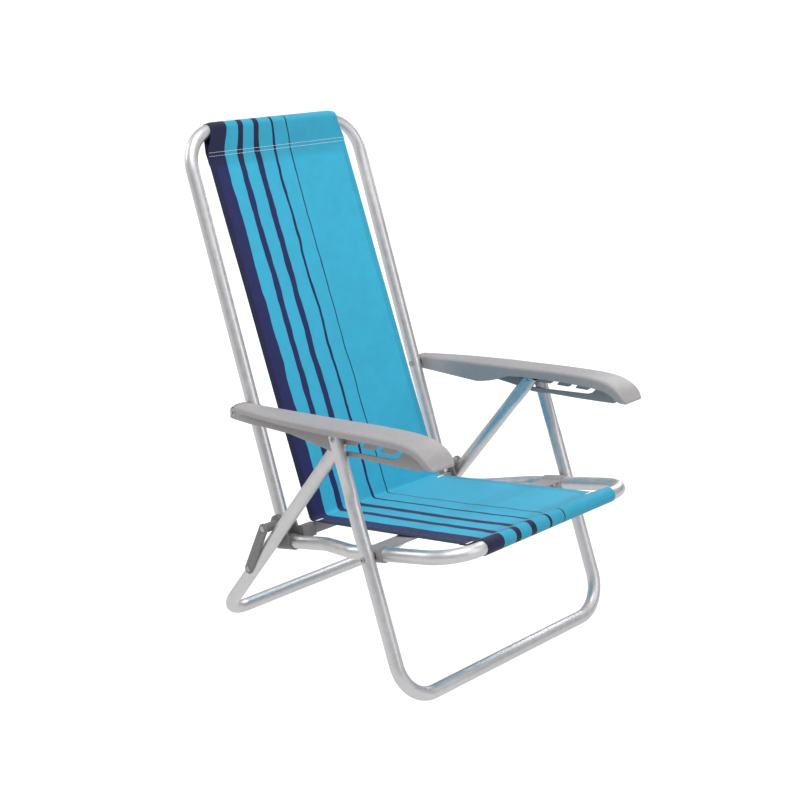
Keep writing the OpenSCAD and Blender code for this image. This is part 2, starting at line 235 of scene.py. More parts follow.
def grainGroup():  # fine uneven tone and height, shared by metal and plastic
    group = bpy.data.node_groups.new("surfaceGrain", "ShaderNodeTree")
    for name, kind in (("Vector", "Vector"), ("Scale", "Float"), ("Contrast", "Float")):
        group.interface.new_socket(name=name, in_out="INPUT", socket_type="NodeSocket" + kind)
    for name in ("Tone", "Height"):
        group.interface.new_socket(name=name, in_out="OUTPUT", socket_type="NodeSocketFloat")
    nodes, links = group.nodes, group.links
    start, end = nodes.new("NodeGroupInput"), nodes.new("NodeGroupOutput")
    fine = addNode(nodes, "ShaderNodeTexNoise")
    fine.inputs["Detail"].default_value = 4
    links.new(start.outputs["Vector"], fine.inputs["Vector"])
    links.new(start.outputs["Scale"], fine.inputs["Scale"])
    broad = addNode(nodes, "ShaderNodeTexNoise")
    broad.inputs["Detail"].default_value = 2
    links.new(start.outputs["Vector"], broad.inputs["Vector"])
    links.new(mathNode(nodes, links, "MULTIPLY", start.outputs["Scale"], 0.06), broad.inputs["Scale"])
    both = mathNode(nodes, links, "ADD", mathNode(nodes, links, "MULTIPLY", fine.outputs["Fac"], 0.5),
                    mathNode(nodes, links, "MULTIPLY", broad.outputs["Fac"], 0.5))
    centred = mathNode(nodes, links, "SUBTRACT", both, 0.5)
    scaled = mathNode(nodes, links, "MULTIPLY", centred, start.outputs["Contrast"])
    tone = mathNode(nodes, links, "ADD", scaled, 0.5)
    links.new(tone, end.inputs["Tone"])
    links.new(fine.outputs["Fac"], end.inputs["Height"])
    return group


grain = grainGroup()


def useGrain(nodes, links, vector, scale, contrast):
    made = nodes.new("ShaderNodeGroup")
    made.node_tree = grain
    links.new(vector, made.inputs["Vector"])
    made.inputs["Scale"].default_value = scale
    made.inputs["Contrast"].default_value = contrast
    return made


def bumped(nodes, links, shader, height, strength, distance):
    bump = nodes.new("ShaderNodeBump")
    bump.inputs["Strength"].default_value = strength
    bump.inputs["Distance"].default_value = distance
    links.new(height, bump.inputs["Height"])
    links.new(bump.outputs["Normal"], shader.inputs["Normal"])
    return bump


def tubeMaterial():  # drawn and satin-polished aluminium: faint streaks run along the tube
    look = {"light": (0.74, 0.735, 0.745), "dark": (0.60, 0.595, 0.605), "streaks": 2600.0}
    material, nodes, links, shader = newMaterial("satinAluminium")
    uv = nodes.new("ShaderNodeUVMap")
    uv.uv_map = "UVMap"
    stretch = nodes.new("ShaderNodeMapping")
    stretch.inputs["Scale"].default_value = (0.02, 1, 1)
    links.new(uv.outputs["UV"], stretch.inputs["Vector"])
    drawn = useGrain(nodes, links, stretch.outputs["Vector"], look["streaks"], 1.3)
    place = nodes.new("ShaderNodeTexCoord")
    clouds = useGrain(nodes, links, place.outputs["Object"], 90.0, 1.6)
    tone = mathNode(nodes, links, "ADD", mathNode(nodes, links, "MULTIPLY", drawn.outputs["Tone"], 0.5),
                    mathNode(nodes, links, "MULTIPLY", clouds.outputs["Tone"], 0.5))
    colour = ramp(nodes, links, tone, [(0.32, look["dark"]), (0.68, look["light"])])
    links.new(colour, shader.inputs["Base Color"])
    rough = ramp(nodes, links, clouds.outputs["Tone"], [(0.25, 0.36), (0.75, 0.48)])
    links.new(rough, shader.inputs["Roughness"])
    shader.inputs["Metallic"].default_value = 0.95
    bumped(nodes, links, shader, drawn.outputs["Height"], 0.10, 0.0002)
    return material


def plasticMaterial(name, light, dark):  # warm grey moulding with a fine spark finish
    material, nodes, links, shader = newMaterial(name)
    place = nodes.new("ShaderNodeTexCoord")
    skin = useGrain(nodes, links, place.outputs["Object"], 1500.0, 1.4)
    flow = useGrain(nodes, links, place.outputs["Object"], 160.0, 1.6)
    colour = ramp(nodes, links, flow.outputs["Tone"], [(0.25, dark), (0.75, light)])
    links.new(colour, shader.inputs["Base Color"])
    rough = ramp(nodes, links, skin.outputs["Tone"], [(0.3, 0.44), (0.7, 0.58)])
    links.new(rough, shader.inputs["Roughness"])
    shader.inputs["Specular IOR Level"].default_value = 0.42
    bumped(nodes, links, shader, skin.outputs["Height"], 0.22, 0.00012)
    return material


def rivetMaterial(name, dark, light):
    material, nodes, links, shader = newMaterial(name)
    place = nodes.new("ShaderNodeTexCoord")
    skin = useGrain(nodes, links, place.outputs["Object"], 900.0, 1.5)
    colour = ramp(nodes, links, skin.outputs["Tone"], [(0.3, dark), (0.7, light)])
    links.new(colour, shader.inputs["Base Color"])
    rough = ramp(nodes, links, skin.outputs["Tone"], [(0.3, 0.20), (0.7, 0.32)])
    links.new(rough, shader.inputs["Roughness"])
    shader.inputs["Metallic"].default_value = 1.0
    bumped(nodes, links, shader, skin.outputs["Height"], 0.1, 0.0001)
    return material


def threadMaterial(name, colour):
    material, nodes, links, shader = newMaterial(name)
    place = nodes.new("ShaderNodeTexCoord")
    twist = useGrain(nodes, links, place.outputs["Object"], 2600.0, 1.2)
    pale = tuple(min(1.0, c * 1.15) for c in colour)
    tone = ramp(nodes, links, twist.outputs["Tone"], [(0.3, colour), (0.7, pale)])
    links.new(tone, shader.inputs["Base Color"])
    shader.inputs["Roughness"].default_value = 0.75
    bumped(nodes, links, shader, twist.outputs["Height"], 0.3, 0.0001)
    return material


# The sling's print: bands in mm from the sitter's right edge, how far their edges wander, the threads'
# pitch, the turned hem's width, and how sharply an edge of the print or of the hem ends
stripes = {
    "width": 320.0,
    "bands": [(-5.0, 37.0), (64.6, 76.9), (103.5, 116.1), (146.9, 152.3), (184.3, 186.8)],
    "turquoise": (0.028, 0.392, 0.590),
    "navy": (0.0075, 0.010, 0.086),
    "wander": 3.4,
    "wanderScale": (22, 17, 1),
    "weave": 2.1,
    "hem": 13.0,
    "inkEdge": 2500.0,
    "hemEdge": 900.0,
}


def slingMaterial():
    material, nodes, links, shader = newMaterial("stripedSlingCloth")
    uv = nodes.new("ShaderNodeUVMap")
    uv.uv_map = "UVMap"
    split = nodes.new("ShaderNodeSeparateXYZ")
    links.new(uv.outputs["UV"], split.inputs["Vector"])
    across, length = split.outputs["X"], split.outputs["Y"]
    drift = nodes.new("ShaderNodeTexNoise")
    drift.noise_dimensions = "2D"
    drift.inputs["Scale"].default_value = 1.0
    drift.inputs["Detail"].default_value = 2
    pull = nodes.new("ShaderNodeMapping")
    pull.inputs["Scale"].default_value = stripes["wanderScale"]
    links.new(uv.outputs["UV"], pull.inputs["Vector"])
    links.new(pull.outputs["Vector"], drift.inputs["Vector"])
    shift = mathNode(nodes, links, "MULTIPLY", mathNode(nodes, links, "SUBTRACT", drift.outputs["Fac"], 0.5),
                     stripes["wander"] * 2 * mm)
    place = mathNode(nodes, links, "ADD", across, shift)
    inked = None
    for low, high in stripes["bands"]:
        middle, half = (low + high) / 2 * mm, (high - low) / 2 * mm
        gap = mathNode(nodes, links, "ABSOLUTE", mathNode(nodes, links, "SUBTRACT", place, middle))
        inside = mathNode(nodes, links, "SUBTRACT", half, gap)
        edge = mathNode(nodes, links, "MULTIPLY", inside, stripes["inkEdge"])
        mask = mathNode(nodes, links, "ADD", edge, 0.5, clamp=True)
        inked = mask if inked is None else mathNode(nodes, links, "MAXIMUM", inked, mask)
    # woven threads: two sets of fine ribs, one set over the other
    step = 2 * math.pi / (stripes["weave"] * 0.5 * mm)
    warp = mathNode(nodes, links, "SINE", mathNode(nodes, links, "MULTIPLY", across, step))
    weft = mathNode(nodes, links, "SINE", mathNode(nodes, links, "MULTIPLY", length, step))
    threads = mathNode(nodes, links, "MULTIPLY", warp, weft)
    slub = useGrain(nodes, links, uv.outputs["UV"], 420.0, 1.6)
    clouds = useGrain(nodes, links, uv.outputs["UV"], 60.0, 1.8)
    cyan = mixColour(nodes, links, clouds.outputs["Tone"], tuple(c * 0.90 for c in stripes["turquoise"]),
                     tuple(min(1, c * 1.10) for c in stripes["turquoise"]))
    blue = mixColour(nodes, links, clouds.outputs["Tone"], tuple(c * 0.80 for c in stripes["navy"]),
                     tuple(c * 1.30 for c in stripes["navy"]))
    colour = mixColour(nodes, links, inked, cyan, blue)
    # the turned side hems are two layers of cloth and look darker: less light comes through two layers, and
    # that is painted into the colour as a darker shade. The pockets round the bars are darkened the same
    # way. The "layers" attribute also holds the painted shadow of the cross strap under the seat, at half
    # strength. The navy bands take more of this painted shade than the turquoise
    edgeGap = mathNode(nodes, links, "SUBTRACT", stripes["width"] / 2 * mm, mathNode(
        nodes, links, "ABSOLUTE", mathNode(nodes, links, "SUBTRACT", across, stripes["width"] / 2 * mm)))
    hem = mathNode(nodes, links, "MULTIPLY", mathNode(
        nodes, links, "SUBTRACT", stripes["hem"] * mm, edgeGap), stripes["hemEdge"], clamp=True)
    layers = nodes.new("ShaderNodeAttribute")
    layers.attribute_name = "layers"
    paintedShade = mathNode(nodes, links, "MAXIMUM", hem, layers.outputs["Fac"], clamp=True)
    blueDown = mathNode(nodes, links, "SUBTRACT", 0.86, mathNode(nodes, links, "MULTIPLY", inked, 0.36))
    backed = mathNode(nodes, links, "MULTIPLY", paintedShade, mathNode(nodes, links, "SUBTRACT", 1.0, blueDown))
    shadeDown = mathNode(nodes, links, "SUBTRACT", 1.0, backed)
    faint = mathNode(nodes, links, "MULTIPLY", threads, 0.2)
    uneven = mathNode(nodes, links, "ADD", faint, slub.outputs["Tone"])
    fineTone = ramp(nodes, links, uneven, [(0.2, 0.93), (0.8, 1.05)])
    colour = mixColour(nodes, links, 1.0, colour, shadeDown, "MULTIPLY")
    colour = mixColour(nodes, links, 1.0, colour, fineTone, "MULTIPLY")
    links.new(colour, shader.inputs["Base Color"])
    rough = ramp(nodes, links, slub.outputs["Tone"], [(0.3, 0.62), (0.7, 0.76)])
    links.new(rough, shader.inputs["Roughness"])
    shader.inputs["Specular IOR Level"].default_value = 0.35
    shader.inputs["Sheen Weight"].default_value = 0.12
    shader.inputs["Sheen Roughness"].default_value = 0.45
    height = mathNode(nodes, links, "ADD", mathNode(nodes, links, "MULTIPLY", threads, 0.35),
                      mathNode(nodes, links, "ADD", slub.outputs["Height"],
                               mathNode(nodes, links, "MULTIPLY", hem, 2.0)))
    bumped(nodes, links, shader, height, 0.28, 0.00025)
    return material


aluminium = tubeMaterial()
armPlastic = plasticMaterial("armrestPlastic", (0.365, 0.352, 0.358), (0.315, 0.303, 0.310))
jointPlastic = plasticMaterial("jointPlastic", (0.225, 0.217, 0.216), (0.175, 0.168, 0.167))
brightMetal = rivetMaterial("rivetMetal", (0.34, 0.34, 0.35), (0.52, 0.52, 0.53))
# painted shade: near-black metal for the discs that stand in for the shaded holes of tubular rivets
mouthShadeMetal = rivetMaterial("rivetMouthShade", (0.035, 0.035, 0.036), (0.06, 0.06, 0.062))
slingCloth = slingMaterial()
whiteThread = threadMaterial("whiteThread", (0.78, 0.80, 0.82))
blueThread = threadMaterial("turquoiseThread", (0.045, 0.36, 0.52))
print("materials made")


def bentLine(corners, radii, endStep, longStep):  # points and directions along a line with round corners
    line = []
    here = Vector(corners[0])
    for index in range(1, len(corners)):
        corner = Vector(corners[index])
        ahead = (corner - Vector(corners[index - 1])).normalized()
        if index < len(corners) - 1:
            onward = (Vector(corners[index + 1]) - corner).normalized()
            turn = ahead.angle(onward)
            cut = radii[index - 1] * math.tan(turn / 2)
            stop = corner - ahead * cut
        else:
            onward, turn, stop = ahead, 0, corner
        run = (stop - here).length
        count = max(1, math.ceil(run / (endStep if index in (1, len(corners) - 1) else longStep)))
        for k in range(count + 1):
            line.append((here.lerp(stop, k / count), ahead.copy()))
        if turn:
            side = (onward - ahead * ahead.dot(onward)).normalized()
            radius = radii[index - 1]
            centre = stop + side * radius
            steps = max(3, math.ceil(math.degrees(turn) / tube["turnStep"]))
            for k in range(1, steps):
                a = turn * k / steps
                point = centre - side * radius * math.cos(a) + ahead * radius * math.sin(a)
                line.append((point, ahead * math.cos(a) + side * math.sin(a)))
            here = corner + onward * cut
    return line


def sweptTube(name, origin, upward, corners, radii, press=None, dimples=()):
    normal = Vector((1, 0, 0)).cross(upward)
    line = bentLine(corners, radii, tube["endStep"] * mm, tube["longStep"] * mm)
    spots = [origin + Vector((1, 0, 0)) * p.x + upward * p.y for p, d in line]
    ways = [Vector((1, 0, 0)) * d.x + upward * d.y for p, d in line]
    run = [0.0]
    for a, b in zip(spots, spots[1:]):
        run.append(run[-1] + (b - a).length)
    whole = run[-1]
    sides = tube["sides"]
    verts, faces, uvs = [], [], []

    def ring(i, shrink=0.0, at=None):
        centre, way = spots[i], ways[i]
        side = normal.cross(way)
        fromEnd = min(run[i], whole - run[i])
        amount = 0.0
        offset = 0.0
        halfSide, halfTall = tubeR - shrink, tubeR - shrink
        if press:
            amount = 1 - smooth((fromEnd - press["length"]) / press["blend"])
            halfSide = (1 - amount) * tubeR + amount * press["thick"] / 2 - shrink
            halfTall = (1 - amount) * tubeR + amount * press["tall"] / 2 - shrink
            offset = amount * press["inward"]
        for where, depth in dimples:
            halfSide -= depth * math.exp(-(((fromEnd - where) / (tube["dimpleReach"] * mm)) ** 2))
        for k in range(sides):
            a = 2 * math.pi * k / sides
            c, s = math.cos(a), math.sin(a)
            extra = halfTall - halfSide
            if amount > 0.99:  # fully pressed: two half rounds with straight sides between them
                away = 1 if s > 0.001 else -1 if s < -0.001 else 0
                tall = halfSide * s + extra * away * amount
            else:
                away = max(-1, min(1, s * 3))
                tall = (1 - amount) * halfTall * s + amount * (halfSide * s + extra * away)
            shape = side * (halfSide * c + offset) + normal * tall
            verts.append((at or centre) + shape)
            uvs.append((run[i], k / sides * 2 * math.pi * tubeR))

    for i in range(len(spots)):
        ring(i)
    count = len(spots)
    for i in range(count - 1):
        for k in range(sides):
            n = (k + 1) % sides
            faces.append((i * sides + k, (i + 1) * sides + k, (i + 1) * sides + n, i * sides + n))
    # the cut ends: a rim as thick as the wall, and a short way of bore
    for last in (0, count - 1):
        way = ways[last] * (1 if last else -1)
        first = last * sides
        ring(last, tube["wall"] * mm)
        rim = len(verts) - sides
        ring(last, tube["wall"] * mm, spots[last] - way * tube["boreDepth"] * mm)
        deep = len(verts) - sides
        for k in range(sides):
            n = (k + 1) % sides
            for a, b in ((first, rim), (rim, deep)):
                face = (a + k, b + k, b + n, a + n)
                faces.append(face if last else face[::-1])
        end = tuple(deep + k for k in range(sides))
        faces.append(end if last else end[::-1])
    piece = newPiece(name, verts, faces, uvs)
    bm = bmesh.new()
    bm.from_mesh(piece.data)
    bmesh.ops.recalc_face_normals(bm, faces=bm.faces)
    bm.to_mesh(piece.data)
    bm.free()
    return piece


def uCorners(half, length):
    return [(-half, length), (-half, 0), (half, 0), (half, length)]


def pressed(legs):  # how a leg's ends are flattened, in metres
    shape = {key: legs[key] * mm for key in ("blend", "thick", "tall", "inward")}
    shape["length"] = (legs["pressed"] + legs["over"]) * mm
    return shape


def legTube(name, foot, node, legs, dimples):
    length = topPivot - foot
    corners = uCorners(halfWidth(node), length.length + legs["over"] * mm)
    radii = [legs["bend"] * mm] * 2
    return sweptTube(name, foot, length.normalized(), corners, radii, pressed(legs), dimples)


frontLegs = {"bend": 62, "over": 6, "pressed": 80, "blend": 24, "thick": 14.6, "tall": 24.0, "inward": 0.8,
             "dimple": 0.5}
frontDimple = ((topPivot - legPivot).length + frontLegs["over"] * mm, frontLegs["dimple"] * mm)
frontTube = legTube("frontLegTube", frontFoot, "front_leg_frame", frontLegs, [frontDimple])
finish(frontTube, "front_legs", aluminium, 40, ["front_leg_frame"])

rearLegs = {"bend": 55, "over": 6, "pressed": 46, "blend": 24, "thick": 18.0, "tall": 24.0, "inward": 0.0,
            "dimpleAt": 95, "dimple": 0.7}
rearDimple = (rearLegs["dimpleAt"] * mm, rearLegs["dimple"] * mm)
rearTube = legTube("rearLegTube", rearFoot, "rear_leg_frame", rearLegs, [rearDimple])
finish(rearTube, "rear_legs", aluminium, 40, ["rear_leg_frame"])

backFrame = {"bend": 65, "below": 12, "shortBy": 0.3, "dimpleAt": 206.9, "dimple": 0.5}
length = backHinge - topBar
backHalf = halfWidth("backrest_frame")
backCorners = uCorners(backHalf, length.length + (backFrame["below"] - backFrame["shortBy"]) * mm)
backTube = sweptTube("backrestTube", topBar, length.normalized(), backCorners, [backFrame["bend"] * mm] * 2,
                     None, [(backFrame["dimpleAt"] * mm, backFrame["dimple"] * mm)])
finish(backTube, "backrest", aluminium, 40, ["backrest_frame"])

seatFrame = {"bend": 55, "splayAt": 59, "splayLength": 87, "splayBend": 60, "end": 257.8}
seatBack = (legPivot - seatBar).normalized()
reach = (legPivot - seatBar).length
seatHalf = halfWidth("seat_frame")
splayStart = reach + seatFrame["splayAt"] * mm
splayEnd = reach + (seatFrame["splayAt"] + seatFrame["splayLength"]) * mm
leftRun = [(seatHalf, splayStart), (backHalf, splayEnd), (backHalf, reach + seatFrame["end"] * mm)]
rightRun = [(-x, s) for x, s in reversed(leftRun)]
splay, bend = seatFrame["splayBend"] * mm, seatFrame["bend"] * mm
seatTube = sweptTube("seatTube", seatBar, seatBack, rightRun + [(-seatHalf, 0), (seatHalf, 0)] + leftRun,
                     [splay, splay, bend, bend, splay, splay])
finish(seatTube, "seat", aluminium, 40, ["seat_frame"])
print("tubes bent")


moulded = {"rear_connector_left": "seat", "rear_connector_right": "seat", "rear_cross_bar": "seat",
           "seat_cross_strap": "seat", "link_left": "link_left_body", "link_right": "link_right_body"}
mouldedEdge = 0.8
for node, body in moulded.items():
    words = node.split("_")
    name = words[0] + "".join(w.capitalize() for w in words[1:])
    paler = node in ("seat_cross_strap", "rear_cross_bar")
    plastic = armPlastic if paler else jointPlastic
    finish(softened(node, name, mouldedEdge), body, plastic, 40, [node])
for node in ("seat_pivot_spacers", "armrest_washers"):
    frame["nodes"][node].data.materials.clear()
    frame["nodes"][node].data.materials.append(brightMetal)
print("moulded joints rounded")


# Parts of a rivet's head as shares of its dome height, and the dome's radius as a share of the head's
headShares = {"washer": 0.3, "washerAt": 0.15, "domeAt": 0.28, "domeTall": 0.72, "domeWide": 0.88}


def rivetTree():  # a shank along each spot's direction with a washer-edged domed head at its end
    tree = bpy.data.node_groups.new("rivetRow", "GeometryNodeTree")
    sockets = {}
    tree.interface.new_socket(name="Geometry", in_out="INPUT", socket_type="NodeSocketGeometry")
    for name in ("Head Radius", "Dome Height", "Shank Radius", "Shank Length"):
        sockets[name] = tree.interface.new_socket(name=name, in_out="INPUT", socket_type="NodeSocketFloat")
    sockets["Material"] = tree.interface.new_socket(
        name="Material", in_out="INPUT", socket_type="NodeSocketMaterial")
    tree.interface.new_socket(name="Geometry", in_out="OUTPUT", socket_type="NodeSocketGeometry")
    nodes, links = tree.nodes, tree.links
    start, end = nodes.new("NodeGroupInput"), nodes.new("NodeGroupOutput")

    def placed(mesh, z, size=None, sizeZ=None):
        move = nodes.new("GeometryNodeTransform")
        links.new(mesh, move.inputs["Geometry"])
        spot = nodes.new("ShaderNodeCombineXYZ")
        links.new(z, spot.inputs["Z"])
        links.new(spot.outputs[0], move.inputs["Translation"])
        if size is not None:
            scale = nodes.new("ShaderNodeCombineXYZ")
            for axis in ("X", "Y"):
                links.new(size, scale.inputs[axis])
            links.new(sizeZ, scale.inputs["Z"])
            links.new(scale.outputs[0], move.inputs["Scale"])
        return move.outputs["Geometry"]

    def product(a, b):
        return mathNode(nodes, links, "MULTIPLY", a, b)

    washer = nodes.new("GeometryNodeMeshCylinder")
    washer.inputs["Vertices"].default_value = 32
    links.new(start.outputs["Head Radius"], washer.inputs["Radius"])
    links.new(product(start.outputs["Dome Height"], headShares["washer"]), washer.inputs["Depth"])
    dome = nodes.new("GeometryNodeMeshUVSphere")
    dome.inputs["Segments"].default_value = 32
    dome.inputs["Rings"].default_value = 12
    dome.inputs["Radius"].default_value = 1.0
    shank = nodes.new("GeometryNodeMeshCylinder")
    shank.inputs["Vertices"].default_value = 24
    links.new(start.outputs["Shank Radius"], shank.inputs["Radius"])
    links.new(start.outputs["Shank Length"], shank.inputs["Depth"])
    join = nodes.new("GeometryNodeJoinGeometry")
    head, domeHeight = start.outputs["Head Radius"], start.outputs["Dome Height"]
    low = product(domeHeight, headShares["washerAt"])
    links.new(placed(washer.outputs["Mesh"], low), join.inputs[0])
    high = product(domeHeight, headShares["domeAt"])
    wide, tall = product(head, headShares["domeWide"]), product(domeHeight, headShares["domeTall"])
    links.new(placed(dome.outputs["Mesh"], high, wide, tall), join.inputs[0])
    links.new(placed(shank.outputs["Mesh"], product(start.outputs["Shank Length"], -0.5)), join.inputs[0])
    toPoints = nodes.new("GeometryNodeMeshToPoints")
    links.new(start.outputs["Geometry"], toPoints.inputs["Mesh"])
    facing = nodes.new("GeometryNodeInputNamedAttribute")
    facing.data_type = "FLOAT_VECTOR"
    facing.inputs["Name"].default_value = "facing"
    turn = nodes.new("FunctionNodeAlignRotationToVector")
    turn.axis = "Z"
    links.new(facing.outputs["Attribute"], turn.inputs["Vector"])
    spread = nodes.new("GeometryNodeInstanceOnPoints")
    links.new(toPoints.outputs["Points"], spread.inputs["Points"])
    links.new(join.outputs[0], spread.inputs["Instance"])
    links.new(turn.outputs["Rotation"], spread.inputs["Rotation"])
    real = nodes.new("GeometryNodeRealizeInstances")
    links.new(spread.outputs["Instances"], real.inputs[0])
    paint = nodes.new("GeometryNodeSetMaterial")
    links.new(real.outputs[0], paint.inputs["Geometry"])
    links.new(start.outputs["Material"], paint.inputs["Material"])
    links.new(paint.outputs["Geometry"], end.inputs[0])
    return tree, {name: socket.identifier for name, socket in sockets.items()}


rivetNodes, rivetSockets = rivetTree()


def rivets(name, body, nodes, spots, headRadius, domeHeight, shankRadius, shankLength,
           metal=brightMetal):
    mesh = bpy.data.meshes.new(name)
    mesh.from_pydata([tuple(p) for p, d in spots], [], [])
    facing = mesh.attributes.new("facing", "FLOAT_VECTOR", "POINT")
    for index, (p, d) in enumerate(spots):
        facing.data[index].vector = d
    piece = bpy.data.objects.new(name, mesh)
    scene.collection.objects.link(piece)
    modifier = piece.modifiers.new("rivetRow", "NODES")
    modifier.node_group = rivetNodes
    for label, value in (("Head Radius", headRadius * mm), ("Dome Height", domeHeight * mm),
                         ("Shank Radius", shankRadius * mm), ("Shank Length", shankLength * mm),
                         ("Material", metal)):
        modifier[rivetSockets[label]] = value
    applyModifiers(piece)
    return finish(piece, body, metal, 50, nodes)


rivetSizes = {"head": 4.9, "dome": 1.45, "shank": 2.95, "pinShank": 3.95}
mouthSizes = {"radius": 2.1, "sunk": 0.45, "dome": 0.62, "shankInset": 0.4, "shankLength": 0.5}
headThick = 1.5  # of a rivet's head in the frame, in mm


def headed(name, body, node, spots, shankLength, shank="shank"):
    rivets(name, body, [node], spots, rivetSizes["head"], rivetSizes["dome"], rivetSizes[shank], shankLength)


def hollow(name, body, spots):  # the mouth of a tubular rivet: a near-black disc just proud of its rolled head, painted shade where the hole is
    moved = [(p + d * (rivetSizes["dome"] - mouthSizes["sunk"]) * mm, d) for p, d in spots]
    rivets(name, body, (), moved, mouthSizes["radius"], mouthSizes["dome"],
           mouthSizes["radius"] - mouthSizes["shankInset"], mouthSizes["shankLength"], mouthShadeMetal)


def rivetPair(pivotPoint, ends):  # heads at the given distances from the middle plane, on both sides
    spots = []
    for x, way in ends:
        for s in (1, -1):
            spots.append((Vector((s * x * mm, pivotPoint.y, pivotPoint.z)), Vector((s * way, 0, 0))))
    return spots


def endsOf(node):  # inner and outer faces of a rivet pair, in mm from the middle plane
    xs = sorted(abs(v.co.x) / mm for v in frame["nodes"][node].data.vertices)
    return xs[0], xs[-1]


def throughRivets(name, body, node, pivotPoint):  # a head on the inner and on the outer end of each
    inner, outer = endsOf(node)
    headed(name, body, node, rivetPair(pivotPoint, [(outer - headThick, 1), (inner + headThick, -1)]),
           (outer - inner) / 2 - headThick)
    return outer - headThick


outerHead = throughRivets("seatPivotRivets", "seat", "seat_pivot_rivets", legPivot)
hollow("seatPivotMouths", "seat", rivetPair(legPivot, [(outerHead, 1)]))
inner, outer = endsOf("top_pins_outer")
headed("legTopPinsOuter", "front_legs", "top_pins_outer", rivetPair(topPivot, [(outer - headThick, 1)]),
       outer - headThick - inner, "pinShank")
hollow("legTopMouths", "front_legs", rivetPair(topPivot, [(outer - headThick, 1)]))
inner, outer = endsOf("top_pins_inner")
headed("legTopPinsInner", "rear_legs", "top_pins_inner", rivetPair(topPivot, [(inner + headThick, -1)]),
       outer - inner - headThick, "pinShank")
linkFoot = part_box("link_rivets_inner")
linkSpot = Vector((0, (linkFoot[0].y + linkFoot[1].y) / 2, (linkFoot[0].z + linkFoot[1].z) / 2))
inner, outer = endsOf("link_rivets_inner")
headed("linkRivetsInner", "rear_legs", "link_rivets_inner", rivetPair(linkSpot, [(inner + headThick, -1)]),
       outer - inner - headThick)
inner, outer = endsOf("link_rivet_left")
for sign, word in ((1, "left"), (-1, "right")):
    spot = (Vector((sign * (outer - headThick) * mm, linkSpot.y, linkSpot.z)), Vector((sign, 0, 0)))
    headed("linkRivet" + word.capitalize(), "link_" + word + "_body", "link_rivet_" + word, [spot],
           outer - headThick - inner)
throughRivets("backHingePins", "back_hinge", "back_hinge_pins", backHinge)
outerHead = throughRivets("armrestRivets", "armrest_pivots", "armrest_rivets", armPivot)
hollow("armrestMouths", "armrest_pivots", rivetPair(armPivot, [(outerHead, 1)]))
print("rivets set")


# Distances in mm: forward of the rivet, and above it or outwards from the inner side
armrest = {
    "wall": 2.6, "rackThick": 3.0, "rackGap": 0.1, "rackEdge": 0.5, "round": 5.0, "crown": 1.0,
    "rear": -10, "front": 452, "wide": 55.6, "middle": (220, 28),
    "noseFrom": 380, "noseTaper": 30, "ease": 3,
    "top": [(-10, 8.2), (-2, 11.6), (69, 17.5), (146, 24.0), (221, 30.4), (293, 37.4), (340, 41.0),
            (370, 42.6),
            (392, 42.8), (408, 41.4), (420, 38.4), (430, 34.6), (440, 28.6), (446, 22.8), (450, 17.4),
            (452, 14.2)],
    "tilt": [(-10, 0.0), (180, 0.8), (290, -0.8), (452, -1.2)],
    "outside": [(-10, 27.5), (0, 30.5), (30, 37), (74, 45.6), (120, 50.2), (183, 53.7), (256, 55.6),
                (432, 55.6),
                (441, 55.0), (447, 53.4), (450.6, 50.8), (452, 47.5)],
    "insideEdge": [(-10, 0.0), (438, 0.0), (446, 0.7), (450.6, 2.6), (452, 5.5)],
    "innerFoot": [(-10, -10.8), (0, -10.6), (140, -10.6), (170, -3.0), (188, 3.6), (207, 11.7), (236, 16.4),
                  (279, 19.8), (303, 22.0), (329, 24.0), (382, 25.4), (400, 25.2), (413, 23.6), (424, 19.5),
                  (432, 14.8), (440, 11.0), (452, 9.6)],
    "outerFoot": [(-10, -9.0), (0, -8.0), (12, 0.0), (30, 4.0), (80, 9.0), (151, 13.4), (244, 20.4),
                  (320, 26.8),
                  (366, 29.4), (389, 30.6), (400, 30.4), (411, 29.0), (424, 24.2), (433, 18.4), (441, 13.6),
                  (452, 10.6)],
    "rack": [(-8, 6), (-8, -9.5), (0, -10.2), (41, -10.2), (74, -8), (134, -6), (171, -9),
             (193, -10.4), (226, -13),
             (239, -15), (248, -14.6), (274, -11.6), (333, -8.2), (380, -4.8), (410, -2.2), (418, 2),
             (424, 10),
             (421, 22), (408, 33), (392, 36), (363, 36.4), (293, 32), (221, 26), (146, 20), (69, 13.4)],
    "slotFloor": [(238.5, -7.2), (262, -5.6), (357, 3.9)],
    "notchFoot": [(238.8, 4.0), (279.1, 6.1), (318.1, 8.1)],
    "slotEnd": (357.4, 10.2),
    "notch": {"lean": 42.0, "wide": 8.8, "tall": 13.5, "round": 2.2, "rise": 0.052, "cornerShare": 0.8},
}


def armrestStations():
    return ([-10, -9.4, -8, -6, -3] + list(range(0, 396, 9))
            + [400, 405, 410, 415, 420, 424, 428, 432, 435, 438, 441, 444, 446.5, 448.5, 450, 451.2, 452])


def curved(table, value):  # like along(), with the corners eased
    ease = armrest["ease"]
    return (along(table, value - ease) + 2 * along(table, value) + along(table, value + ease)) / 4


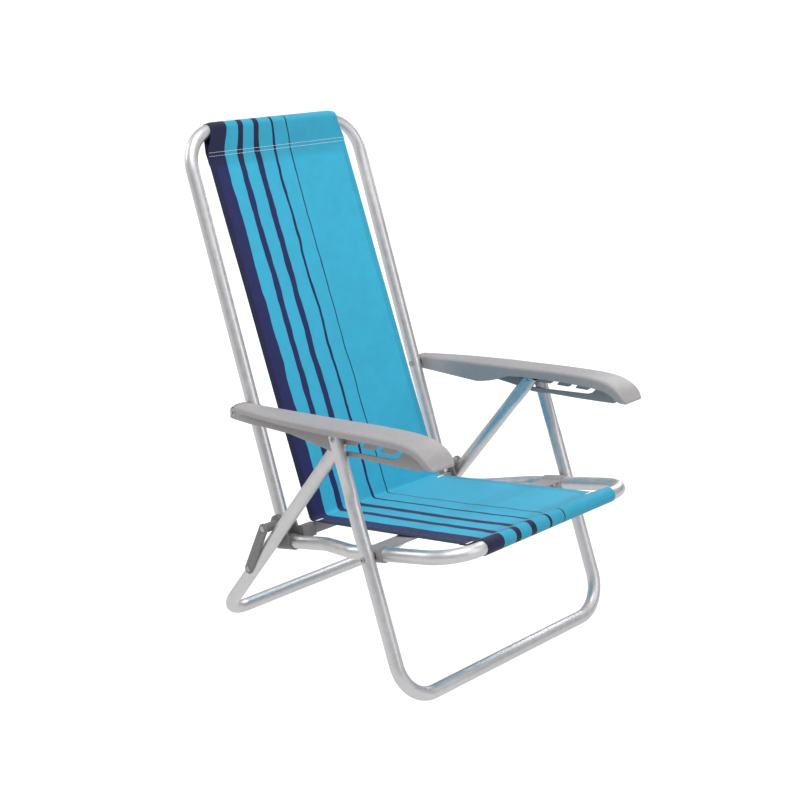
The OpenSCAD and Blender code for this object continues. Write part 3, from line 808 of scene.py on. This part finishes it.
def armrestShell(sign):
    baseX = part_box("armrest_left")[0].x / mm
    places = armrestStations()
    insideRow = [(u, curved(armrest["insideEdge"], u) if u > armrest["noseFrom"] else 0.0) for u in places]
    outsideRow = [(u, along(armrest["outside"], u)) for u in places]
    outline = insideRow + outsideRow[::-1]
    count = len(outline)
    half = len(places)
    innerFeet = [along(armrest["innerFoot"], u) for u in places]
    outerFeet = [along(armrest["outerFoot"], u) for u in places]
    feet = innerFeet + outerFeet[::-1]
    normals = []
    for i in range(count):
        a, b = Vector(outline[i - 1]), Vector(outline[(i + 1) % count])
        way = (b - a).normalized()
        normals.append(Vector((-way.y, way.x)))
    centre = Vector(armrest["middle"])
    for i in range(count):
        if (centre - Vector(outline[i])).dot(normals[i]) < 0:
            normals[i] = -normals[i]
    rounds = armrest["round"]
    verts, faces = [], []

    def add(u, w, v):
        verts.append(Vector((sign * (baseX + w) * mm, armPivot.y - u * mm, armPivot.z + v * mm)))

    rings = [(0.0, None)]
    steps = 7
    for k in range(steps + 1):
        a = math.radians(90 * k / steps)
        rings.append((rounds * (1 - math.cos(a)), rounds * (1 - math.sin(a))))
    for inset, drop in rings:
        for i, (u, w) in enumerate(outline):
            nearEnd = min(u - armrest["rear"], armrest["front"] - u)
            # the nose is too tight for the full inset
            give = min(1.0, 0.35 + nearEnd / 16) if u > 200 else 1.0
            at = Vector((u, w)) + normals[i] * inset * give
            outwards = min(1.0, max(0.0, at.y / armrest["wide"]))
            top = curved(armrest["top"], u) + along(armrest["tilt"], u) * outwards
            if drop is None:
                add(at.x, at.y, feet[i])
            else:
                reach = max(0.5, top - feet[i] - 0.4)
                add(at.x, at.y, top - min(drop, reach * drop / rounds))
    for ring in range(len(rings) - 1):
        here, onward = ring * count, (ring + 1) * count
        for i in range(count):
            n = (i + 1) % count
            faces.append((here + i, here + n, onward + n, onward + i))
    last = (len(rings) - 1) * count
    columns = 8
    grid = []
    for i in range(half):
        left, right = verts[last + i], verts[last + count - 1 - i]
        row = [last + i]
        for c in range(1, columns):
            t = c / columns
            point = left.lerp(right, t)
            taper = min(1.0, (armrest["front"] - places[i]) / armrest["noseTaper"])
            point.z += armrest["crown"] * mm * (1 - (2 * t - 1) ** 2) * taper
            verts.append(point)
            row.append(len(verts) - 1)
        row.append(last + count - 1 - i)
        grid.append(row)
    for a, b in zip(grid, grid[1:]):
        for c in range(columns):
            faces.append((a[c], a[c + 1], b[c + 1], b[c]))
    shell = newPiece("shell", verts, faces)
    bm = bmesh.new()
    bm.from_mesh(shell.data)
    bmesh.ops.remove_doubles(bm, verts=bm.verts, dist=0.00002)
    bmesh.ops.recalc_face_normals(bm, faces=bm.faces)
    highest = max(bm.faces, key=lambda f: f.calc_center_median().z)
    if highest.normal.z < 0:
        bmesh.ops.reverse_faces(bm, faces=bm.faces)
    bm.to_mesh(shell.data)
    bm.free()
    wall = shell.modifiers.new("wall", "SOLIDIFY")
    wall.thickness = armrest["wall"] * mm
    wall.offset = -1
    wall.use_even_offset = False
    applyModifiers(shell)
    return shell


def flatPlate(name, outer, holes, thick, edge):  # a plate with holes and eased edges, from side outlines
    curve = bpy.data.curves.new(name, "CURVE")
    curve.dimensions = "2D"
    curve.fill_mode = "BOTH"
    for loop in [outer] + holes:
        spline = curve.splines.new("POLY")
        spline.points.add(len(loop) - 1)
        for point, (u, v) in zip(spline.points, loop):
            point.co = (u * mm, v * mm, 0, 1)
        spline.use_cyclic_u = True
    curve.extrude = (thick / 2 - edge) * mm
    curve.bevel_depth = edge * mm
    curve.bevel_resolution = 2
    curve.offset = -edge * mm
    holder = bpy.data.objects.new(name, curve)
    scene.collection.objects.link(holder)
    bpy.context.view_layer.update()
    mesh = bpy.data.meshes.new_from_object(holder.evaluated_get(bpy.context.evaluated_depsgraph_get()))
    bpy.data.objects.remove(holder)
    piece = bpy.data.objects.new(name, mesh)
    scene.collection.objects.link(piece)
    return piece


def rackOpening():  # the slot that the leg pin travels in, with notches leaning up and forward from it
    notch = armrest["notch"]
    lean = math.radians(notch["lean"])
    rise = Vector((math.sin(lean), math.cos(lean))) * notch["tall"]
    step = Vector((notch["wide"] / math.cos(lean), 0))
    soft, share = notch["round"], notch["cornerShare"]
    feet = armrest["notchFoot"]
    floor = armrest["slotFloor"]
    loop = [floor[0]]
    for index, foot in enumerate(feet + [armrest["slotEnd"]]):
        left = Vector(foot)
        right = left + step + Vector((0, step.x * notch["rise"]))
        up, slide = rise.normalized(), (right - left).normalized()
        if index:
            loop += [tuple(left - slide * soft), tuple(left + up * soft)]
        loop += [tuple(left + rise - up * soft), tuple(left + rise + slide * soft * share)]
        loop += [tuple(right + rise - slide * soft * share), tuple(right + rise - up * soft)]
        if index < len(feet):
            loop += [tuple(right + up * soft), tuple(right + slide * soft)]
        else:
            loop.append(tuple(right - up * 3))
    return loop + floor[:0:-1]


def armrestRack(sign):
    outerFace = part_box("armrest_rivets")[1].x / mm - headThick - armrest["rackGap"]
    plate = flatPlate("rack", armrest["rack"], [rackOpening()], armrest["rackThick"], armrest["rackEdge"])
    middle = outerFace - armrest["rackThick"] / 2
    place = Matrix(((0, 0, sign, sign * middle * mm), (-1, 0, 0, armPivot.y), (0, 1, 0, armPivot.z),
                    (0, 0, 0, 1)))
    plate.data.transform(place)
    bm = bmesh.new()
    bm.from_mesh(plate.data)
    bmesh.ops.remove_doubles(bm, verts=bm.verts, dist=0.00001)
    bmesh.ops.recalc_face_normals(bm, faces=bm.faces)
    bm.to_mesh(plate.data)
    bm.free()
    return plate


for sign, word in ((1, "left"), (-1, "right")):
    whole = joined("armrest" + word.capitalize(), [armrestShell(sign), armrestRack(sign)])
    finish(whole, "armrest_" + word + "_body", armPlastic, 40, ["armrest_" + word])
print("armrests moulded")


sling = {
    "width": 320.0, "thick": 0.9, "clear": 0.5, "columns": 48,
    "creaseForward": 25.9, "creaseDrop": 1.4, "creaseRound": 8.0, "gusset": 52,
    "backSeam": 47.0, "seatSeam": 33.0, "hemTail": 13.0, "hemRise": 0.55, "pocketHalf": 147.0,
    "seatSag": 0.6, "backSag": 2.5, "ripple": 0.8, "topRows": (39.6, 45.3),
    "panelStep": 11, "bendStep": 6, "loopSteps": 22,
}
clothR = tubeR + (sling["clear"] + sling["thick"] / 2) * mm
crease = Vector((0, backHinge.y - sling["creaseForward"] * mm, backHinge.z - sling["creaseDrop"] * mm))


def loopPoints(bar, way, upper, seam):  # from the panel's seam on its upper side, round the bar, to the tail
    opening = math.acos(clothR / (seam * mm))
    steps = sling["loopSteps"]
    points = [(bar - way * seam * mm + upper * sling["hemRise"] * mm, 1.0)]
    first = bar + (-way * math.cos(opening) + upper * math.sin(opening)) * clothR
    for k in range(1, 5):
        points.append((points[0][0].lerp(first, k / 5), 0.0))
    turn = 2 * math.pi - 2 * opening
    for k in range(steps + 1):
        a = opening + turn * k / steps
        points.append((bar + (-way * math.cos(a) + upper * math.sin(a)) * clothR, 0.0))
    tail = bar - way * seam * mm - upper * sling["hemRise"] * mm
    last = points[-1][0]
    for k in range(1, 6):
        points.append((last.lerp(tail, k / 5), 1.0 if k == 5 else 0.0))
    for k in (1, 2):
        points.append((tail - way * sling["hemTail"] * mm * k / 2, 1.0))
    return points


backWay = (topBar - crease).normalized()
seatWay = (seatBar - crease).normalized()
backFace = Vector((0, -backWay.z, backWay.y))
seatFace = Vector((0, seatWay.z, -seatWay.y))
if seatFace.z < 0:
    seatFace = -seatFace
if backFace.y > 0:
    backFace = -backFace


def panelPoints(start, end, step):
    count = max(2, round((end - start).length / step))
    return [start.lerp(end, k / count) for k in range(count + 1)]


turn = (-seatWay).angle(backWay)
creaseRound = sling["creaseRound"]
cut = creaseRound * mm * math.tan(turn / 2)
creaseIn, creaseOut = crease + seatWay * cut, crease + backWay * cut
middle = creaseIn + seatFace * creaseRound * mm
arc = []
for k in range(1, 9):
    a = turn * k / 9
    across, forward = seatFace * creaseRound * mm * math.cos(a), seatWay * creaseRound * mm * math.sin(a)
    arc.append(middle - across - forward)
gusset = crease + backWay * sling["gusset"] * mm
seatLoop = loopPoints(seatBar, seatWay, seatFace, sling["seatSeam"])
backLoop = loopPoints(topBar, backWay, backFace, sling["backSeam"])
seatFlat = panelPoints(seatLoop[0][0], creaseIn, sling["panelStep"] * mm)
gussetFlat = panelPoints(creaseOut, gusset, sling["bendStep"] * mm)
backFlat = panelPoints(gusset, backLoop[0][0], sling["panelStep"] * mm)

# one line down the middle of the whole cloth, from the front pocket's tail to the top pocket's tail
seatLine = [p for p, s in seatLoop[::-1]] + seatFlat[1:]
bendLine = [seatFlat[-1]] + arc + gussetFlat
backLine = backFlat + [p for p, s in backLoop[1:]]


def runOf(line, start=0.0):
    out = [start]
    for a, b in zip(line, line[1:]):
        out.append(out[-1] + (b - a).length)
    return out


def dropOfBend(x, half, bend):  # how far a bent tube's centre has turned away, x from the middle
    radius = bend * mm
    extra = abs(x) - (half - radius)
    if extra <= 0:
        return 0.0
    extra = min(extra, radius * 0.9)
    return radius - math.sqrt(radius ** 2 - extra ** 2)


class Hold:  # a bar that one end of the cloth is sewn round, and how the cloth lies near it
    def __init__(self, bar, way, seam, half, bend, pocket):
        self.bar, self.way, self.seam = bar, way, seam * mm
        self.half, self.bend, self.pocket = half, bend, pocket * mm

    def near(self, point):
        gap = (self.bar - point).dot(self.way)
        return 1 - smooth(gap / self.seam) if gap > 0 else 1.0


seatHold = Hold(seatBar, seatWay, sling["seatSeam"], seatHalf, seatFrame["bend"], sling["width"] / 2)
backHold = Hold(topBar, backWay, sling["backSeam"], backHalf, backFrame["bend"], sling["pocketHalf"])
wholeLine = seatLine + bendLine[1:] + backLine[1:]
wholeRun = runOf(wholeLine)
seatEnd, bendEnd = len(seatLine) - 1, len(seatLine) + len(bendLine) - 2
clothHalf = sling["width"] / 2 * mm


# How often a ripple turns across and along the cloth, per metre, and which slice of the noise it reads
ripples = {"broad": (14, 5.5, 3.7), "fine": (40, 9, 8.1), "corner": (55, 16, 1.3)}
cornerReach = {"across": 0.03, "along": 0.05}


def rippleAt(kind, x, run):
    across, lengthwise, part = ripples[kind]
    return noise.noise(Vector((x * across, run * lengthwise, part)))


def clothRow(i):  # one row of the cloth, from its right edge to its left
    point = wholeLine[i]
    hold = seatHold if i < seatEnd else backHold if i > bendEnd else None
    near = hold.near(point) if hold else 0.0
    before, after = wholeLine[max(0, i - 1)], wholeLine[min(len(wholeLine) - 1, i + 1)]
    way = (after - before).normalized()
    upward = Vector((0, -way.z, way.y))
    if upward.dot(Vector((0, -1, 1))) < 0:
        upward = -upward
    body = 0.0
    if hold:
        first = wholeLine[seatEnd] if hold is seatHold else gusset
        s = (point - first).dot(hold.way) / (hold.bar - first).dot(hold.way)
        body = math.sin(math.pi * min(1.0, max(0.0, s)))
    width = clothHalf - (near * (clothHalf - hold.pocket) if hold else 0)
    sag = sling["seatSag"] if hold is seatHold else sling["backSag"]
    row = []
    for c in range(sling["columns"] + 1):
        t = 2 * c / sling["columns"] - 1
        x = t * width
        spot = point.copy()
        if near > 0:
            spot -= hold.way * dropOfBend(x, hold.half, hold.bend) * near
        wave = rippleAt("broad", x, wholeRun[i])
        wave += 0.5 * rippleAt("fine", x, wholeRun[i])
        pull = rippleAt("corner", x, wholeRun[i])
        corner = math.exp(-((1 - abs(t)) * clothHalf / cornerReach["across"]) ** 2)
        corner *= math.exp(-(((wholeRun[i] - wholeRun[seatEnd]) / cornerReach["along"]) ** 2))
        lift = sling["ripple"] * (wave * 0.8 + pull * 0.7 * corner) - sag * body * (1 - t * t)
        spot += upward * lift * mm * (1 - near) ** 2
        spot.x = x
        row.append(spot)
    return row


clothRows = [clothRow(i) for i in range(len(wholeLine))]


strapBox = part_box("seat_cross_strap")
strapGap = ((strapBox[0] + strapBox[1]) / 2 - seatBar).dot(-seatWay)
strapHalf = (strapBox[1].y - strapBox[0].y) / 2


def slingSheet(name, first, last, hold=None):
    verts, faces, uvs, layers = [], [], [], []
    wide = sling["columns"] + 1
    for i in range(first, last + 1):
        gap = (hold.bar - wholeLine[i]).dot(hold.way) if hold else 1.0
        for c, spot in enumerate(clothRows[i]):
            verts.append(spot)
            uvs.append((c / sling["columns"] * sling["width"] * mm, wholeRun[i]))
            # painted shade kept in the "layers" attribute: full where a pocket doubles the cloth, half where
            # the cross strap under the seat would shade it
            paintedShade = hold and gap < hold.seam + sling["hemTail"] * mm
            overStrap = hold is seatHold and abs(gap - strapGap) < strapHalf
            layers.append(1.0 if paintedShade else 0.5 if overStrap else 0.0)
    for i in range(last - first):
        for c in range(wide - 1):
            a = i * wide + c
            faces.append((a, a + 1, a + wide + 1, a + wide))
    piece = newPiece(name, verts, faces, uvs)
    mark = piece.data.attributes.new("layers", "FLOAT", "POINT")
    mark.data.foreach_set("value", layers)
    thick = piece.modifiers.new("clothThickness", "SOLIDIFY")
    thick.thickness = sling["thick"] * mm
    thick.offset = 0
    return applyModifiers(piece)


seatCloth = finish(slingSheet("slingSeat", 0, seatEnd, seatHold), "seat", slingCloth, 60,
                   ["sling_seat"])
bendCloth = finish(slingSheet("slingBend", seatEnd, bendEnd), None, slingCloth, 60)
backCloth = finish(slingSheet("slingBack", bendEnd, len(wholeLine) - 1, backHold), None,
                   slingCloth, 60, ["sling_back"])
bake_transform(bendCloth)
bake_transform(backCloth)
print("sling sewn", [round(wholeRun[k], 4) for k in (seatEnd, bendEnd, -1)])


def stitchTree():  # short rounded stitches laid end to end along a drawn line
    tree = bpy.data.node_groups.new("stitchLine", "GeometryNodeTree")
    sockets = {}
    tree.interface.new_socket(name="Geometry", in_out="INPUT", socket_type="NodeSocketGeometry")
    for name in ("Pitch", "Length", "Thickness", "Wander"):
        sockets[name] = tree.interface.new_socket(name=name, in_out="INPUT", socket_type="NodeSocketFloat")
    sockets["Seed"] = tree.interface.new_socket(name="Seed", in_out="INPUT", socket_type="NodeSocketInt")
    sockets["Material"] = tree.interface.new_socket(
        name="Material", in_out="INPUT", socket_type="NodeSocketMaterial")
    tree.interface.new_socket(name="Geometry", in_out="OUTPUT", socket_type="NodeSocketGeometry")
    nodes, links = tree.nodes, tree.links
    start, end = nodes.new("NodeGroupInput"), nodes.new("NodeGroupOutput")
    toCurve = nodes.new("GeometryNodeMeshToCurve")
    links.new(start.outputs["Geometry"], toCurve.inputs["Mesh"])
    sample = nodes.new("GeometryNodeResampleCurve")
    sample.mode = "LENGTH"
    links.new(toCurve.outputs["Curve"], sample.inputs["Curve"])
    links.new(start.outputs["Pitch"], sample.inputs["Length"])
    tangent = nodes.new("GeometryNodeInputTangent")
    turn = nodes.new("FunctionNodeAlignRotationToVector")
    turn.axis = "X"
    links.new(tangent.outputs["Tangent"], turn.inputs["Vector"])
    bead = nodes.new("GeometryNodeMeshUVSphere")
    bead.inputs["Segments"].default_value = 6
    bead.inputs["Rings"].default_value = 5
    bead.inputs["Radius"].default_value = 0.5
    size = nodes.new("ShaderNodeCombineXYZ")
    links.new(start.outputs["Length"], size.inputs["X"])
    links.new(start.outputs["Thickness"], size.inputs["Y"])
    links.new(start.outputs["Thickness"], size.inputs["Z"])
    shape = nodes.new("GeometryNodeTransform")
    links.new(bead.outputs["Mesh"], shape.inputs["Geometry"])
    links.new(size.outputs[0], shape.inputs["Scale"])
    vary = nodes.new("FunctionNodeRandomValue")
    vary.data_type = "FLOAT_VECTOR"
    negative = mathNode(nodes, links, "MULTIPLY", start.outputs["Wander"], -1)
    for socket, value in (("Min", negative), ("Max", start.outputs["Wander"])):
        spread = nodes.new("ShaderNodeCombineXYZ")
        for axis in ("X", "Y", "Z"):
            links.new(value, spread.inputs[axis])
        links.new(spread.outputs[0], vary.inputs[socket])
    links.new(start.outputs["Seed"], vary.inputs["Seed"])
    move = nodes.new("GeometryNodeSetPosition")
    links.new(sample.outputs["Curve"], move.inputs["Geometry"])
    links.new(vary.outputs["Value"], move.inputs["Offset"])
    lay = nodes.new("GeometryNodeInstanceOnPoints")
    links.new(move.outputs["Geometry"], lay.inputs["Points"])
    links.new(shape.outputs["Geometry"], lay.inputs["Instance"])
    links.new(turn.outputs["Rotation"], lay.inputs["Rotation"])
    real = nodes.new("GeometryNodeRealizeInstances")
    links.new(lay.outputs["Instances"], real.inputs[0])
    paint = nodes.new("GeometryNodeSetMaterial")
    links.new(real.outputs[0], paint.inputs["Geometry"])
    links.new(start.outputs["Material"], paint.inputs["Material"])
    links.new(paint.outputs["Geometry"], end.inputs[0])
    return tree, {name: socket.identifier for name, socket in sockets.items()}


stitchNodes, stitchSockets = stitchTree()


def stitches(name, lines, material, pitch, length, thickness, wander, seed):
    verts, edges = [], []
    for line in lines:
        first = len(verts)
        verts += [tuple(p) for p in line]
        edges += [(first + k, first + k + 1) for k in range(len(line) - 1)]
    mesh = bpy.data.meshes.new(name)
    mesh.from_pydata(verts, edges, [])
    piece = bpy.data.objects.new(name, mesh)
    scene.collection.objects.link(piece)
    modifier = piece.modifiers.new("stitchLine", "NODES")
    modifier.node_group = stitchNodes
    for label, value in (("Pitch", pitch * mm), ("Length", length * mm), ("Thickness", thickness * mm),
                         ("Wander", wander * mm), ("Seed", seed), ("Material", material)):
        modifier[stitchSockets[label]] = value
    return applyModifiers(piece)


def clothPoint(cloth, x, guess, face):  # the spot on the cloth's face under a guessed point
    origin = Vector((x, guess.y, guess.z)) + face * seams["probe"] * mm
    hit, spot = cloth.ray_cast(origin, -face, distance=2 * seams["probe"] * mm)[:2]
    return spot + face * seams["proud"] * mm if hit else Vector((x, guess.y, guess.z))


bpy.context.view_layer.update()
# In mm, but for samples, the steps along a row: a cross row's half length, how far the cloth is looked for
# and how proud of it a thread lies, the tacks' places and sizes, and where the side rows end in front
seams = {"samples": 60, "rowHalf": 156, "probe": 20, "proud": 0.1,
         "tackX": 150, "tackTall": 15, "tackWide": 5, "tackFromCrease": 6,
         "sideEnd": 36}
# Pitch, length, thickness and wander of each kind of stitch in mm, and the seed of its wander
stitchSizes = {"topHem": (3.6, 2.9, 0.75, 0.12, 4), "frontHem": (3.2, 2.5, 0.6, 0.1, 7),
               "tack": (1.6, 1.9, 0.5, 0.08, 11), "side": (3.2, 2.5, 0.45, 0.06, 13)}


def crossLine(cloth, bar, way, face, gap):
    half, count = seams["rowHalf"] * mm, seams["samples"]
    guess = bar - way * gap * mm
    return [clothPoint(cloth, -half + 2 * half * k / count, guess, face) for k in range(count + 1)]


def barTack(cloth, x, spot, way, face, tall, wide):  # a dense zigzag block where the load comes
    line = []
    for k in range(13):
        forward = way * wide * mm * (k / 12 - 0.5)
        line.append(clothPoint(cloth, x + tall * mm * (0.5 if k % 2 else -0.5), spot + forward, face))
    return line


def sew(name, kind, lines, body, material):
    return finish(stitches(name, lines, material, *stitchSizes[kind]), body, material, 60)


topRows = [crossLine(backCloth, topBar, backWay, backFace, g) for g in sling["topRows"]]
frontRow = [crossLine(seatCloth, seatBar, seatWay, seatFace, sling["seatSeam"] - 1)]
sew("topHemStitches", "topHem", topRows, "backrest", whiteThread)
sew("frontHemStitches", "frontHem", frontRow, "seat", blueThread)
tacks = []
for s in (-1, 1):
    x = s * seams["tackX"] * mm
    front = seatBar - seatWay * (sling["seatSeam"] + 1) * mm
    for spot in (front, creaseIn + seatWay * seams["tackFromCrease"] * mm):
        tacks.append(barTack(seatCloth, x, spot, seatWay, seatFace, seams["tackTall"], seams["tackWide"]))
sew("cornerTacks", "tack", tacks, "seat", whiteThread)
sideRows = []
for s in (-1, 1):
    x = s * (sling["width"] / 2 - stripes["hem"]) * mm
    sideFoot = seatBar - seatWay * seams["sideEnd"] * mm
    spots = [creaseIn.lerp(sideFoot, k / seams["samples"]) for k in range(2, seams["samples"] + 1)]
    sideRows.append([clothPoint(seatCloth, x, p, seatFace) for p in spots])
sew("seatSideStitches", "side", sideRows, "seat", blueThread)
print("stitches laid")


def studio():
    view = {"position": (-1.7830, -1.6562, 1.1092), "down": 15.28, "turn": -46.221, "lens": 68.33,
            "shift": (0.0254, -0.0396)}
    camera = bpy.data.cameras.new("camera")
    camera.lens = view["lens"]
    camera.sensor_width = 36
    camera.shift_x, camera.shift_y = view["shift"]
    holder = bpy.data.objects.new("camera", camera)
    holder.location = view["position"]
    holder.rotation_euler = (math.radians(90 - view["down"]), 0, math.radians(view["turn"]))
    scene.collection.objects.link(holder)
    scene.camera = holder
    scene.view_settings.view_transform = "Standard"
    scene.view_settings.look = "None"

    world = bpy.data.worlds.new("studio")
    scene.world = world
    world.use_nodes = True
    nodes, links = world.node_tree.nodes, world.node_tree.links
    nodes.clear()
    out = nodes.new("ShaderNodeOutputWorld")
    place = nodes.new("ShaderNodeTexCoord")
    split = nodes.new("ShaderNodeSeparateXYZ")
    links.new(place.outputs["Generated"], split.inputs[0])
    sky = ramp(nodes, links, mathNode(nodes, links, "MULTIPLY_ADD", split.outputs["Z"], 0.5, 0.5), [
        (0.0, (0.30, 0.30, 0.31)), (0.5, (0.24, 0.24, 0.25)), (0.64, (0.55, 0.55, 0.56)),
        (1.0, (1.0, 1.0, 1.0))])
    around = nodes.new("ShaderNodeBackground")
    links.new(sky, around.inputs["Color"])
    around.inputs["Strength"].default_value = 0.80
    seen = nodes.new("ShaderNodeBackground")
    seen.inputs["Color"].default_value = (1, 1, 1, 1)
    path = nodes.new("ShaderNodeLightPath")
    mix = nodes.new("ShaderNodeMixShader")
    links.new(path.outputs["Is Camera Ray"], mix.inputs[0])
    links.new(around.outputs[0], mix.inputs[1])
    links.new(seen.outputs[0], mix.inputs[2])
    links.new(mix.outputs[0], out.inputs["Surface"])

    far, below = 60, -0.0005
    corners = [(-far, -far, below), (far, -far, below), (far, far, below), (-far, far, below)]
    floor = newPiece("floor", corners, [(0, 1, 2, 3)])
    paper, nodes, links, shader = newMaterial("paleFloor")
    shader.inputs["Base Color"].default_value = (0.10, 0.10, 0.10, 1)
    shader.inputs["Roughness"].default_value = 0.9
    shader.inputs["Specular IOR Level"].default_value = 0.0
    shader.inputs["Emission Color"].default_value = (1, 1, 1, 1)
    path = nodes.new("ShaderNodeLightPath")
    glow = mathNode(nodes, links, "MULTIPLY_ADD", path.outputs["Is Camera Ray"], 0.35, 0.75)
    links.new(glow, shader.inputs["Emission Strength"])
    floor.data.materials.append(paper)

    lamps = [("key", (-0.7, -0.9, 3.2), 1.6, 50), ("front", (0.6, -3.0, 1.5), 1.8, 14),
             ("fill", (2.6, 0.6, 1.8), 1.6, 24), ("rear", (-1.4, 2.6, 2.0), 1.4, 22)]
    for name, position, size, power in lamps:
        light = bpy.data.lights.new(name, "AREA")
        light.shape = "DISK"
        light.size = size
        light.energy = power
        lamp = bpy.data.objects.new(name, light)
        lamp.location = position
        lamp.rotation_euler = (Vector((0, 0, 0.35)) - Vector(position)).to_track_quat("-Z", "Y").to_euler()
        scene.collection.objects.link(lamp)


studio()
print("studio set")
